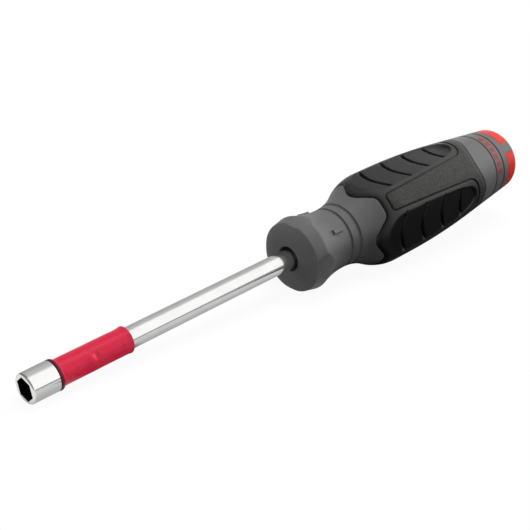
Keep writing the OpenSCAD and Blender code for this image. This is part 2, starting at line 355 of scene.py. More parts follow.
def index_bar(h, turn):
    """1 on the raised index bars, which one quarter of the neck lacks."""
    across = NECK_R * np.sin(np.radians(fold(turn - PANEL_TURN, 90)))
    along = h - BAR_AT - BAR_L / 2
    bar = plateau(across, BAR_W / 2, BAR_SIDE_EDGE) * plateau(along, BAR_L / 2, BAR_END_EDGE)
    return bar * (np.abs(fold(turn - BARE_TURN, 360)) > 45)


def shell_r(h, turn):
    """Radius of the shell's skin, with its flats, grooves and index bars."""
    r = handle_r(h)
    flat = (FLAT_R - sag(h - FLAT_AT, FLAT_CROWN_R)) / np.cos(from_recess(turn))
    r = np.where(h < FLAT_END_AT, smooth_min(r, flat, FLAT_BLEND), r)
    for at in NECK_GROOVES:
        r = r - ring_groove(h, at, NECK_GROOVE_R)
    for at in TAIL_GROOVES:
        r = r - ring_groove(h, at, TAIL_GROOVE_R)
    return r + BAR_RISE * index_bar(h, turn)


def window_fill(turn, radius):
    """How far the shell reaches back in the front corners of the windows on the red head."""
    beside = radius * np.abs(np.sin(from_panel(turn))) - STRIP_W / 2
    return sag(np.clip(WINDOW_ROUND - beside, 0, WINDOW_ROUND), WINDOW_ROUND)


def capsule(h, y, a, ra, b, rb):
    """Distance from the outline round two circles on the middle line."""
    y = np.abs(y)
    along = h - a
    length = b - a
    lean = (ra - rb) / length
    level = math.sqrt(1 - lean ** 2)
    k = along * level - y * lean
    ends = np.where(k < 0, np.hypot(y, along) - ra, np.hypot(y, along - length) - rb)
    return np.where((k < 0) | (k > level * length), ends, y * level + along * lean - ra)


def recess_distance(h, y):
    """Distance outside the outline of a finger recess, negative inside it."""
    front = LOBE_AT + RECESS_RIM + RECESS_FRONT_W
    end = RECESS_END_AT - RECESS_END_W
    first = capsule(h, y, front, RECESS_FRONT_W, RECESS_WIDE_AT, RECESS_WIDE_W)
    second = capsule(h, y, RECESS_WIDE_AT, RECESS_WIDE_W, end, RECESS_END_W)
    return np.minimum(first, second)


def recess_r(h, turn, outside):
    """Radius of a recess: a flat floor on one long bow, and sides that rise from its outline."""
    soft = ease(h, RECESS_SOFT_AT, RECESS_SOFT_END)
    slope = RECESS_SLOPE + (RECESS_SOFT_SLOPE - RECESS_SLOPE) * soft
    inset = RECESS_INSET + (RECESS_SOFT_INSET - RECESS_INSET) * soft
    floor = RECESS_FLOOR_R - sag(h - RECESS_FLOOR_AT, RECESS_BOW_R)
    return floor / np.cos(from_recess(turn)) + slope * np.maximum(outside + inset, 0)


def bow_depth(h, y, below):
    """Depth of the bowed grooves across a recess, whose floor lies below the skin."""
    rise = math.sqrt(BOW_R ** 2 - RECESS_WIDE_W ** 2)
    depth = np.zeros(np.shape(h))
    for i in range(BOW_COUNT):
        centre = BOW_AT + i * BOW_PITCH + rise
        off = np.hypot(h - centre, y) - BOW_R
        groove = plateau(off, BOW_W / 2, BOW_EDGE) * (h < centre - rise + BOW_W)
        depth = np.maximum(depth, groove)
    return BOW_T * depth * ease(below, -BOW_OVER, BOW_FULL)


def panel_half_width(h):
    """Half width of a panel, which widens towards its rear corners."""
    knee = PANEL_END_AT - PANEL_ROUND
    share = np.clip((h - PANEL_AT) / (knee - PANEL_AT), 0, 1)
    return PANEL_FRONT_W + (PANEL_REAR_W - PANEL_FRONT_W) * share


def panel_distance(h, turn):
    """Distance inside the textured panels and rear band, negative outside them."""
    y = handle_r(h) * np.abs(np.sin(from_panel(turn)))
    knee = PANEL_END_AT - PANEL_ROUND
    wide = PANEL_REAR_W + PANEL_ROUND
    front = h - PANEL_AT
    side = panel_half_width(h) - y
    cut = np.hypot(np.maximum(PANEL_CORNER - front, 0), np.maximum(PANEL_CORNER - side, 0))
    panel = np.where(np.maximum(front, side) < PANEL_CORNER, PANEL_CORNER - cut,
                     np.minimum(front, side))
    corner = np.hypot(h - knee, y - wide) - PANEL_ROUND
    return np.select([y >= wide, h > knee], [h - PANEL_END_AT, corner], panel)


def panel_relief(h, turn):
    """Height of the raised panels, less the depth of the seam round them."""
    inside = panel_distance(h, turn)
    near = 1 - ease(np.abs(np.degrees(from_panel(turn))), PANEL_FADE_TURN, PANEL_END_TURN)
    rise = near * ease(inside, *PANEL_EDGE) * ease(rear_line(turn) - h, *PANEL_REAR_FADE)
    strength = SEAM_FAR_SHARE + (1 - SEAM_FAR_SHARE) * near
    seam = strength * plateau(inside + SEAM_W / 4, SEAM_W / 4, SEAM_W / 2)
    return PANEL_RISE * rise - SEAM_T * seam


def grip_r(h, turn):
    """Radius of the soft grip's skin, with its recesses, grooves and seams."""
    skin = handle_r(h)
    y = skin * np.sin(from_recess(turn))
    recess = recess_r(h, turn, recess_distance(h, y))
    r = smooth_min(skin, recess, RECESS_BLEND) - bow_depth(h, y, skin - recess)
    return r + panel_relief(h, turn)


# Mesh building

def around(x, r, turn):
    """Points at stations x and radii r, turned round the axis."""
    angle = np.radians(turn)
    return np.stack(np.broadcast_arrays(x, -r * np.cos(angle), r * np.sin(angle)), axis=-1)


def new_mesh(name, points, faces):
    """Mesh in metres from points in millimetres."""
    mesh = bpy.data.meshes.new(name)
    mesh.from_pydata((points * MM).tolist(), [], faces)
    return mesh


def grid_mesh(name, x, r, turn, ring=True, **attributes):
    """Closed mesh through rows of stations x and radii r.

    A ring joins the last row to the first. Otherwise both ends close on the axis.
    Each attribute holds one value per grid point.
    """
    grid = around(x, r, turn)
    rows, cols = grid.shape[:2]
    points = grid.reshape(-1, 3)
    index = np.arange(rows * cols).reshape(rows, cols)
    low = index if ring else index[:-1]
    high = np.roll(index, -1, axis=0) if ring else index[1:]
    quads = np.stack([low, high, np.roll(high, -1, axis=1), np.roll(low, -1, axis=1)], axis=-1)
    faces = quads.reshape(-1, 4).tolist()
    if not ring:
        poles = [[grid[0, 0, 0], 0, 0], [grid[-1, 0, 0], 0, 0]]
        points = np.vstack([points, poles])
        first, last = rows * cols, rows * cols + 1
        turned = np.roll(index, -1, axis=1)
        faces += [[first, a, b] for a, b in zip(index[0].tolist(), turned[0].tolist())]
        faces += [[last, b, a] for a, b in zip(index[-1].tolist(), turned[-1].tolist())]
    mesh = new_mesh(name, points, faces)
    for key, values in attributes.items():
        layer = mesh.attributes.new(key, "FLOAT", "POINT")
        flat = np.zeros(len(points), np.float32)
        flat[:rows * cols] = np.broadcast_to(values, (rows, cols)).ravel()
        layer.data.foreach_set("value", flat)
    return mesh


def plate_mesh(name, h, turn, top, bottom):
    """Closed plate on the handle over a grid of stations and angles."""
    rows, cols = np.shape(top)
    points = np.concatenate([around(REACH + h, r, turn).reshape(-1, 3) for r in (top, bottom)])
    index = np.arange(rows * cols).reshape(rows, cols)
    below = rows * cols
    quads = np.stack([index[:-1, :-1], index[1:, :-1], index[1:, 1:], index[:-1, 1:]], axis=-1)
    faces = quads.reshape(-1, 4).tolist()
    faces += (quads[..., ::-1] + below).reshape(-1, 4).tolist()
    edge = np.concatenate([index[0, :-1], index[:-1, -1], index[-1, :0:-1], index[:0:-1, 0]])
    after = np.roll(edge, -1)
    faces += np.stack([edge, after, after + below, edge + below], axis=-1).tolist()
    return new_mesh(name, points, faces)


def join_meshes(name, meshes):
    """One mesh from several closed ones."""
    points, faces = [], []
    for mesh in meshes:
        start = len(points)
        points += [v.co.copy() for v in mesh.vertices]
        faces += [[start + i for i in p.vertices] for p in mesh.polygons]
    joined = bpy.data.meshes.new(name)
    joined.from_pydata(points, [], faces)
    return joined


def add_piece(name, mesh, material, node=None, crease=40):
    """Link a mesh as a piece of the part that rides on its only body."""
    mesh.validate()
    mesh.shade_smooth()
    mesh.set_sharp_from_angle(angle=math.radians(crease))
    mesh.materials.append(material)
    obj = bpy.data.objects.new(name, mesh)
    bpy.context.scene.collection.objects.link(obj)
    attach(obj, "root")
    if node:
        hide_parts(node)
    return obj


def stack_rows(blocks):
    """Grids of stations, radii and block numbers from blocks of (stations, radii)."""
    cols = np.broadcast_shapes(*[np.shape(part)[-1:] for block in blocks for part in block])
    spread = [np.broadcast_arrays(x, r, np.zeros((1,) + cols)) for x, r in blocks]
    numbers = [i for i, block in enumerate(spread) for _ in block[0]]
    return (np.concatenate([block[0] for block in spread]),
            np.concatenate([block[1] for block in spread]), column(numbers))


def column(values):
    """Row values as a column that spreads over all angles."""
    return np.asarray(values, float)[:, None]


def steps(a, b, count):
    """Evenly spaced values from a to b, both included."""
    return column(np.linspace(a, b, count))


def slowing(a, b, count):
    """Values from a to b that lie closer together towards b."""
    return a + (b - a) * column(np.sin(np.linspace(0, math.pi / 2, count)))


def quarter_round(count):
    """Sine and 1 - cosine of a quarter turn, as columns."""
    angle = np.linspace(0, math.pi / 2, count)
    return column(np.sin(angle)), column(1 - np.cos(angle))


def even_turns(count):
    """Evenly spaced angles of a full turn, as a row."""
    return np.arange(count)[None, :] * 360 / count


def groove_stations(a, b, grooves, radius, step):
    """Stations from a to b, closer together in the ring grooves."""
    half = np.array([0.3, 0.6, 0.8, 0.93, 1, 1.05, 1.4])
    offsets = radius * np.concatenate([-half, [0], half])
    even = np.linspace(a, b, int((b - a) / step) + 1)
    clear = [h for h in even if all(abs(h - g) > 1.5 * radius for g in grooves)]
    return column(sorted(clear + [g + o for g in grooves for o in offsets]))


# Materials

class Nodes:
    """Short calls that build the nodes of a material or of the world."""

    def __init__(self, owner):
        owner.use_nodes = True
        self.owner = owner
        self.tree = owner.node_tree

    def add(self, kind, inputs=None, **settings):
        node = self.tree.nodes.new(kind)
        for key, value in settings.items():
            setattr(node, key, value)
        for key, value in (inputs or {}).items():
            self.feed(node.inputs[key], value)
        return node

    def feed(self, socket, value):
        if isinstance(value, bpy.types.NodeSocket):
            self.tree.links.new(value, socket)
        else:
            socket.default_value = value

    def remap(self, value, low, high, to_low=0.0, to_high=1.0):
        inputs = {"Value": value, "From Min": low, "From Max": high,
                  "To Min": to_low, "To Max": to_high}
        node = self.add("ShaderNodeMapRange", inputs, interpolation_type="SMOOTHSTEP")
        return node.outputs["Result"]

    def math(self, operation, a, b=0.0):
        return self.add("ShaderNodeMath", {0: a, 1: b}, operation=operation).outputs[0]

    def split(self, vector):
        return self.add("ShaderNodeSeparateXYZ", {"Vector": vector}).outputs


class Surface(Nodes):
    """Nodes that feed the shader of one piece's material."""

    def __init__(self, name):
        super().__init__(bpy.data.materials.new(name))
        self.shader = self.tree.nodes["Principled BSDF"]

    def set(self, **values):
        for key, value in values.items():
            self.feed(self.shader.inputs[key.replace("_", " ")], value)

    def place(self, scale=(1, 1, 1)):
        """Object coordinates in millimetres, stretched by a scale."""
        where = self.add("ShaderNodeTexCoord").outputs["Object"]
        size = tuple(s / MM for s in scale)
        return self.add("ShaderNodeMapping", {"Vector": where, "Scale": size}).outputs["Vector"]

    def noise(self, grain, detail=2.0, scale=(1, 1, 1), rough=0.5):
        """Noise whose features are about grain millimetres wide."""
        inputs = {"Vector": self.place(scale), "Scale": 1 / grain, "Detail": detail,
                  "Roughness": rough}
        return self.add("ShaderNodeTexNoise", inputs).outputs["Fac"]

    def spread(self, noise, low=0.0, high=1.0):
        """A noise, whose values crowd round the middle, spread from low to high."""
        return self.remap(noise, 0.3, 0.7, low, high)

    def cells(self, grain):
        """Distance to the middle of cells about grain millimetres wide."""
        inputs = {"Vector": self.place(), "Scale": 1 / grain}
        return self.add("ShaderNodeTexVoronoi", inputs).outputs["Distance"]

    def attribute(self, name):
        return self.add("ShaderNodeAttribute", attribute_name=name).outputs["Fac"]

    def mix(self, share, a, b):
        """Colour between a and b, each a tone or a socket."""
        inputs = {"Factor": share, "A": a + (1,) if isinstance(a, tuple) else a,
                  "B": b + (1,) if isinstance(b, tuple) else b}
        node = self.add("ShaderNodeMix", data_type="RGBA")
        for socket in node.inputs:
            if socket.enabled and socket.name in inputs:
                self.feed(socket, inputs[socket.name])
        return next(s for s in node.outputs if s.enabled)

    def bump(self, height, strength, distance):
        """Normal of a relief whose height is given in millimetres."""
        inputs = {"Height": height, "Strength": strength, "Distance": distance * MM}
        return self.add("ShaderNodeBump", inputs).outputs["Normal"]


def shell_material():
    """Satin dark grey plastic with a fine moulded grain."""
    n = Surface("shell_satin_plastic")
    dark, light = (0.122, 0.123, 0.122), (0.138, 0.139, 0.137)
    cloud = n.noise(9, 3)
    n.set(Base_Color=n.mix(n.spread(cloud), dark, light),
          Roughness=n.spread(cloud, 0.42, 0.5),
          Normal=n.bump(n.noise(0.22, 2), 0.25, 0.05))
    return n.owner


def grip_material():
    """Matt black elastomer: textured panels and smoother rims; the recesses are darker, partly in
    their own tone and mostly by painted shade, and there is painted shade along the lobes' front
    edge.
    """
    n = Surface("grip_soft_elastomer")
    # The darker of the smooth tones is painted shade in the recesses and along the lobes' front
    # edge.
    rim_tone, hollow_tone = (0.027, 0.0255, 0.0235), (0.0045, 0.0045, 0.0045)
    peak_tone, pit_tone = (0.047, 0.046, 0.042), (0.017, 0.0165, 0.016)
    grain = n.attribute("grain")
    speck = n.cells(0.55)
    fine = n.noise(0.3, 3, rough=0.65)
    smooth = n.mix(n.attribute("hollow"), rim_tone, hollow_tone)
    pits = n.remap(n.math("MULTIPLY", speck, fine), 0.08, 0.38)
    textured = n.mix(pits, peak_tone, pit_tone)
    relief = n.math("ADD", n.math("MULTIPLY", speck, grain), fine)
    n.set(Base_Color=n.mix(grain, smooth, textured),
          Roughness=n.remap(grain, 0, 1, 0.38, 0.52), Specular_IOR_Level=0.4,
          Normal=n.bump(relief, 0.5, 0.12))
    return n.owner


def sleeve_material():
    """Satin crimson vinyl, with painted shade on its front lip."""
    n = Surface("sleeve_crimson_vinyl")
    # The front lip is darkened with painted shade, which fades out just behind the socket's rear
    # edge.
    lip_shade_tone = (0.09, 0.004, 0.012)
    dark, light = (0.74, 0.004, 0.050), (0.77, 0.006, 0.054)
    dark_to, bright_from = SOCKET_L + 0.1, SOCKET_L + 0.8
    behind_lip = n.remap(n.split(n.place())["X"], dark_to, bright_from)
    cloud = n.noise(4, 3)
    n.set(Base_Color=n.mix(behind_lip, lip_shade_tone, n.mix(n.spread(cloud), dark, light)),
          Roughness=n.spread(cloud, 0.26, 0.34),
          Normal=n.bump(n.noise(1.4, 3), 0.12, 0.1))
    return n.owner


def red_material(name, tone):
    """Satin red plastic that lets a little light in."""
    n = Surface(name)
    dark = tuple(0.92 * c for c in tone)
    cloud = n.noise(6, 3)
    n.set(Base_Color=n.mix(n.spread(cloud), dark, tone),
          Roughness=n.spread(cloud, 0.4, 0.5),
          Subsurface_Weight=0.6, Subsurface_Radius=(1.0, 0.12, 0.08), Subsurface_Scale=5 * MM,
          Normal=n.bump(n.noise(0.25, 2), 0.2, 0.05))
    return n.owner


def chrome_material(name, low, high):
    """Chrome plate with faint polishing lines, dark and unplated inside the tool."""
    n = Surface(name)
    dark, light = (0.80, 0.80, 0.785), (0.84, 0.84, 0.825)
    bare_tone, bare_rough = (0.05, 0.04, 0.035), 0.45
    lines = n.noise(0.12, 2, scale=(1, 0.06, 0.06))
    cloud = n.noise(5, 3)
    inside = n.attribute("inside")
    polish = n.remap(n.math("ADD", lines, cloud), 0.7, 1.3, low, high)
    n.set(Base_Color=n.mix(inside, n.mix(n.spread(cloud), dark, light), bare_tone), Metallic=1.0,
          Roughness=n.math("MAXIMUM", polish, n.math("MULTIPLY", inside, bare_rough)),
          Normal=n.bump(lines, 0.06, 0.02))
    return n.owner


# Pieces

def make_socket():
    """Socket with its hex, a lead-in that follows the hex, the rounded rim and the rear bevel."""
    turn = even_turns(240)
    hex_r = HEX_AF / 2 / np.cos(np.radians(fold(turn - HEX_TURN - 30, 60)))
    mouth_r = hex_r * (1 + 2 * LEAD_IN / HEX_AF)
    mouth = steps(0, 1, 3)
    seat_at = HEX_DEPTH + WEB_T
    face_r = SOCKET_R - RIM_ROUND
    bevel_at = SOCKET_L - REAR_BEVEL
    sine, fall = quarter_round(8)
    inner = [
        (steps(SOCKET_L, seat_at, 4), SHANK_R + FIT),
        (seat_at, steps(SHANK_R + FIT, STUD_R, 3)),
        (steps(seat_at, HEX_DEPTH, 3), STUD_R),
        (HEX_DEPTH, STUD_R + steps(0.1, 1, 4) * (hex_r - STUD_R)),
        (steps(HEX_DEPTH - 0.1, LEAD_IN + 0.1, 8), hex_r),
    ]
    outer = [
        (LEAD_IN * (1 - mouth), hex_r + (mouth_r - hex_r) * mouth),
        (0, mouth_r + steps(0.1, 1, 4) * (face_r - mouth_r)),
        (RIM_ROUND * fall, face_r + RIM_ROUND * sine),
        (steps(RIM_ROUND + 0.1, bevel_at - 0.05, 30), SOCKET_R),
        (bevel_at + BEVEL_ROUND * sine, SOCKET_R - BEVEL_ROUND * fall),
        (steps(bevel_at + 0.1, SOCKET_L, 6), SOCKET_R + steps(-0.1, -REAR_BEVEL, 6)),
        (SOCKET_L, steps(SOCKET_R - REAR_BEVEL - 0.05, SHANK_R + 2 * FIT, 3)),
    ]
    x, r, block = stack_rows(inner + outer)
    return grid_mesh("socket", x, r, turn, inside=block < len(inner))


def winged_bar_r(x, turn, wing_at):
    """Radius of the shank, with two pairs of wings on its tang, a quarter turn apart."""
    r = SHANK_R + 0 * x * turn
    for pair_turn, middle in ((90, wing_at + WING_L / 2), (0, wing_at + WING_L)):
        side = plateau(fold(turn - pair_turn, 180), WING_HALF_TURN, 4)
        r = r + WING_H * side * plateau(x - middle, WING_L / 2 - WING_H / 2, WING_H)
    return r


def make_shank():
    """Hollow bar with a chamfered front end and the tang's hidden wings."""
    turn = even_turns(144)
    start = HEX_DEPTH + WEB_T + FIT
    tang_end = REACH + TANG_L
    bar = steps(start + 0.3, tang_end - 0.4, 260)
    bore = [
        (start + STUD_L, steps(0.3, STUD_R, 3)),
        (steps(start + STUD_L - 1, start + 0.2, 12), STUD_R),
    ]
    outside = [
        (start, steps(STUD_R + 0.2, SHANK_R - 0.3, 3)),
        (bar, winged_bar_r(bar, turn, tang_end - 2 * WING_L)),
        (tang_end, steps(SHANK_R - 0.4, 0.4, 4)),
    ]
    x, r, block = stack_rows(bore + outside)
    return grid_mesh("shank", x, r, turn, ring=False, inside=block < len(bore))


def sleeve_r(x, turn, front, rear):
    """Outside of the sleeve: lip, rolled tail, faint waves and one dent with a swell before it."""
    angle = np.radians(turn)
    lip = (LIP_R - SLEEVE_R) * (1 - ease(x - front, LIP_L, LIP_END))
    tail = TAIL_ROLL * np.square(np.clip((x - rear + TAIL_L) / TAIL_L, 0, 1))
    waves = WAVE_T * np.sin(x * 0.9 + 2 * np.sin(angle)) * np.sin(2 * angle + x * 0.31)
    along = x - DENT_AT
    across = SLEEVE_R * np.radians(fold(turn - DENT_TURN, 360))
    dent = DENT_T * np.exp(-(along / DENT_L) ** 2 - (across / DENT_W) ** 2)
    swell = SWELL_T * np.exp(-((along + SWELL_BEFORE) / SWELL_SIZE) ** 2
                             - ((across + SWELL_ASIDE) / SWELL_SIZE) ** 2)
    return SLEEVE_R + lip + tail + waves - dent + swell


def make_sleeve():
    """Thin sleeve shrunk on the shank, its lip on the socket's rear bevel."""
    turn = even_turns(180)
    front = SOCKET_L - REAR_BEVEL / 2
    rear = front + SLEEVE_L
    inner = SHANK_R + FIT
    seat_r = SOCKET_R - REAR_BEVEL
    sine, fall = quarter_round(5)
    body = steps(front + SLEEVE_EDGE, rear - SLEEVE_EDGE, 150)
    tail_r = sleeve_r(rear - SLEEVE_EDGE, turn, front, rear)
    blocks = [
        (steps(rear, SOCKET_L + FIT, 8), inner),
        (SOCKET_L + FIT, steps(inner + 0.1, seat_r, 3)),
        (steps(SOCKET_L, front + 0.05, 3), steps(seat_r + 0.1, SOCKET_R - 0.35, 3)),
        (front + SLEEVE_EDGE * fall, LIP_R - SLEEVE_EDGE + SLEEVE_EDGE * sine),
        (body, sleeve_r(body, turn, front, rear)),
        (rear - SLEEVE_EDGE + SLEEVE_EDGE * sine, tail_r - 0.6 * SLEEVE_EDGE * fall),
        (rear, steps(SLEEVE_R - 0.05, inner + 0.1, 3)),
    ]
    x, r, _ = stack_rows(blocks)
    return grid_mesh("sleeve", x, r, turn)


def shell_strips():
    """Two strips of the shell that run across the core's red head."""
    inner = handle_r(SHELL_L) - STRIP_T
    butt_at = HANDLE_L - BUTT_ROUND
    end = butt_at + math.sqrt(BUTT_ROUND ** 2 - (BUTT_ROUND - handle_r(butt_at) + inner) ** 2)
    h = slowing(SHELL_L, end - 0.02, 40)
    top = handle_r(h)
    angle = np.arcsin(np.linspace(-1, 1, 17)[None, :] * STRIP_W / 2 / top)
    floor = np.minimum(inner / np.cos(angle), top - 0.02)
    return [plate_mesh("strip", h, PANEL_TURN + side + np.degrees(angle), top + 0 * angle, floor)
            for side in (0, 180)]


def bolster_stations(end):
    """Stations from the fold to an end, closer together at the fold and at the crest."""
    stretches = [(FOLD_AT - 0.35, FOLD_AT + 0.5, 0.05), (FOLD_AT + 0.6, CREST_AT - 0.7, 0.3),
                 (CREST_AT - 0.6, CREST_AT + 0.8, 0.1), (CREST_AT + 0.9, end, 0.3)]
    return column(np.concatenate([np.arange(*stretch) for stretch in stretches]))


def make_shell():
    """Second shot: bolster, neck, tongues, seat of the grip, tail and strips."""
    turn = even_turns(312)
    front, rear = front_line(turn), rear_line(turn)
    sine, fall = quarter_round(6)
    bolster_end, neck_at, tongue_at = 12, 12.15, 24.4
    rim, lip, edge = 0.35, 0.3, 0.1
    seat = GRIP_T + FIT
    dome = (FOLD_AT - 0.4) * np.square(steps(0, 1, 14))
    bolster = bolster_stations(bolster_end)
    neck = groove_stations(neck_at, tongue_at, NECK_GROOVES, NECK_GROOVE_R, 0.3)
    tongue = tongue_at + (front - rim - tongue_at) * steps(0.02, 1, 28)
    bed = front + (rear - front) * steps(0.02, 0.98, 14)
    rise = rear + rim * (1 - sine[::-1])
    tail = rear + rim + (BAND_AT - 0.1 - rear - rim) * steps(0, 1, 14)
    band = groove_stations(BAND_AT + 0.1, SHELL_L - 0.25, TAIL_GROOVES, TAIL_GROOVE_R, 0.5)
    end = SHELL_L + window_fill(turn, handle_r(SHELL_L))
    corner = SHELL_L - 0.2 + (end - edge - SHELL_L + 0.2) * steps(0, 1, 6)[:-1]
    blocks = [
        (steps(ENTRY_L, lip, 6), ENTRY_R),
        (lip * (1 - sine), ENTRY_R + lip * fall),
        (0, steps(ENTRY_R + 2 * lip, FACE_R - 0.2, 5)),
        (dome, shell_r(dome, turn)),
        (bolster, shell_r(bolster, turn)),
        (neck, shell_r(neck, turn)),
        (tongue, shell_r(tongue, turn)),
        (front - rim + rim * sine[1:], shell_r(front - rim, turn) - rim * fall[1:]),
        (front, handle_r(front) - steps(0.3, 1, 3) * seat),
        (bed, handle_r(bed) - seat),
        (rear, handle_r(rear) - steps(1, 0.3, 3) * seat),
        (rise[:-1], shell_r(rear, turn) - rim * fall[::-1][:-1]),
        (tail, shell_r(tail, turn)),
        (band, shell_r(band, turn)),
        (corner, handle_r(corner)),
        (end - edge + edge * sine, handle_r(end) - edge * fall),
        (end, handle_r(end) - STRIP_T * steps(0.2, 1, 4)),
        (SHELL_L, steps(handle_r(SHELL_L) - STRIP_T - FIT, CORE_R + FIT, 4)),
        (steps(SHELL_L - 1, ENTRY_L, 8), CORE_R + FIT),
    ]
    h, r, _ = stack_rows(blocks)
    return join_meshes("shell", [grid_mesh("shell_body", REACH + h, r, turn), *shell_strips()])


def grip_turns(nominal):
    """Angles of the grip's columns: they follow the sides of the panels' seams."""
    r = handle_r(nominal)
    seam = np.degrees(np.arcsin(panel_half_width(nominal) / r))
    half = np.degrees(SEAM_REACH / r)
    before = (seam - half) * np.linspace(0, 1, 12, endpoint=False)
    beside = seam + half * np.linspace(-1, 1, 6, endpoint=False)
    after = seam + half + (45 - seam - half) * np.linspace(0, 1, 30)
    eighth = np.concatenate([before, beside, after], axis=1)
    quarter = np.concatenate([eighth[:, :-1], 90 - eighth[:, :0:-1]], axis=1)
    return np.concatenate([PANEL_TURN + side + quarter for side in (0, 90, 180, 270)], axis=1)


def row_slices(counts):
    """Slices of a grid's rows from the number of rows under each name."""
    ends = np.cumsum(list(counts.values())).tolist()
    return {name: slice(end - counts[name], end) for name, end in zip(counts, ends)}


def make_grip():
    """Third shot: lobes, flat finger recesses, bowed grooves and seamed panels."""
    sine, fall = quarter_round(6)
    across = SEAM_REACH * np.linspace(-1, 1, 7)[:, None]
    lead = steps(0, 1, 28)
    middle = steps(PANEL_AT + SEAM_REACH, PANEL_END_AT - SEAM_REACH, 180)[1:-1]
    close = steps(0, 1, 16)
    walls = steps(1, 0.3, 3)
    inner = steps(0.97, 0.03, 9)
    rows = row_slices({
        "front_wall": len(walls), "front_rim": len(fall) - 1, "lead": len(lead),
        "front_seam": len(across), "middle": len(middle), "rear_seam": len(across),
        "close": len(close), "rear_rim": len(sine) - 1, "rear_wall": len(walls),
        "inner": len(inner)})

    nominal = np.empty((rows["inner"].stop, 1))
    nominal[:rows["lead"].stop] = TONGUE_AT
    nominal[rows["front_seam"]] = PANEL_AT + across
    nominal[rows["middle"]] = middle
    nominal[rows["rear_seam"]] = PANEL_END_AT + across
    nominal[rows["close"].start:rows["rear_wall"].stop] = REAR_AT
    nominal[rows["inner"]] = PANEL_AT + (PANEL_END_AT - PANEL_AT) * inner
    turn = grip_turns(nominal)

    front, rear = front_line(turn) + FIT, rear_line(turn) - FIT
    lead_end = PANEL_AT - SEAM_REACH - 0.1
    close_at = PANEL_END_AT + SEAM_REACH + 0.1
    h = nominal + 0 * turn
    for name, way in (("front_wall", 0), ("front_rim", FRONT_RIM * fall[:-1])):
        h[rows[name]] = front[rows[name]] + way
    lead_from = front[rows["lead"]] + FRONT_RIM
    h[rows["lead"]] = lead_from + (lead_end - lead_from) * lead
    close_end = rear[rows["close"]] - REAR_RIM
    h[rows["close"]] = close_at + (close_end - close_at) * close
    for name, way in (("rear_rim", REAR_RIM * sine[1:] - REAR_RIM), ("rear_wall", 0)):
        h[rows[name]] = rear[rows[name]] + way
    under = rows["inner"]
    h[under] = front[under] + (rear[under] - front[under]) * inner

    skin = handle_r(h)
    r = grip_r(h, turn)
    r[rows["front_wall"]] = skin[rows["front_wall"]] - GRIP_T + (GRIP_T - FRONT_RIM) * (1 - walls)
    r[rows["front_rim"]] -= FRONT_RIM * (1 - sine[:-1])
    r[rows["rear_rim"]] -= REAR_RIM * fall[1:]
    r[rows["rear_wall"]] = skin[rows["rear_wall"]] - REAR_RIM - (GRIP_T - REAR_RIM) * walls[::-1]
    r[under] = skin[under] - GRIP_T
    grain = ease(panel_distance(h, turn), *GRAIN_EDGE)
    # Painted shade: in the recesses and along the lobes' front edge.
    hollow = np.maximum(ease(skin - r, *RECESS_SHADE_EDGE), 1 - ease(h - front, *LOBE_SHADE_EDGE))
    return grid_mesh("grip", REACH + h, r, turn, grain=grain, hollow=hollow)


def core_turns(top):
    """Angles of the core's columns: they follow the channels under the strips."""
    edge = np.degrees(np.arcsin((STRIP_W / 2 + FIT) / top))
    inside = edge * np.linspace(0, 1, 8)
    outside = edge + np.degrees(0.02 / top) + (90 - edge) * np.linspace(0, 1, 50) ** 1.15
    outside = np.minimum(outside, 90)
    quarter = np.concatenate([inside, outside[:, :-1], 90 + 0 * edge], axis=1)
    half = np.concatenate([quarter[:, :-1], 180 - quarter[:, :0:-1]], axis=1)
    return np.concatenate([PANEL_TURN + side + half for side in (0, 180)], axis=1)


def core_rows():
    """Stations and radii of the core, from the tang's hole to the middle of the butt."""
    rim_r = float(handle_r(HANDLE_L))
    dome_r = (rim_r ** 2 + BUTT_DOME ** 2) / (2 * BUTT_DOME)
    dome = rim_r * steps(0.985, 0.02, 24)
    sine, fall = quarter_round(5)
    edge = 0.12
    face_at = SHELL_L + FIT
    face_r = handle_r(SHELL_L) - edge
    head = slowing(face_at + edge, HANDLE_L, 70)[1:]
    tang_end = TANG_L + FIT
    hole = SHANK_R + WING_H + 2 * FIT
    h, r, _ = stack_rows([
        (tang_end, steps(0.4, hole, 3)),
        (steps(tang_end - 1, ENTRY_L + 1, 10), hole),
        (ENTRY_L + FIT, steps(hole + 0.3, CORE_R - 0.3, 3)),
        (steps(ENTRY_L + 0.4, SHELL_L - 0.2, 16), CORE_R),
        (face_at, steps(CORE_R + 0.4, face_r - 0.2, 4)),
        (face_at + edge * fall, face_r + edge * sine),
        (head, handle_r(head)),
        (HANDLE_L + BUTT_DOME - sag(dome, dome_r), dome),
    ])
    return h, r


def make_core():
    """First shot: red domed head at the butt and the hidden body round the tang."""
    h, r = core_rows()
    top = np.maximum(r, CORE_R)
    turn = core_turns(top)
    shown = h > SHELL_L - 0.1
    channel_r = handle_r(SHELL_L) - STRIP_T
    h = h + window_fill(turn, top) * np.clip((HANDLE_L - h) / HEAD_L, 0, 1) * shown
    on_skin = (h < HANDLE_L) & (r > channel_r)
    r = np.where(on_skin, np.minimum(r, handle_r(h)), r)
    across = np.abs(from_panel(turn))
    rounding = 0.005
    under_strip = (top * np.sin(across) < STRIP_W / 2 + FIT + rounding) & shown
    r = np.where(under_strip, np.minimum(r, (channel_r - FIT) / np.cos(across)), r)
    return grid_mesh("core", REACH + h, r, turn, ring=False)


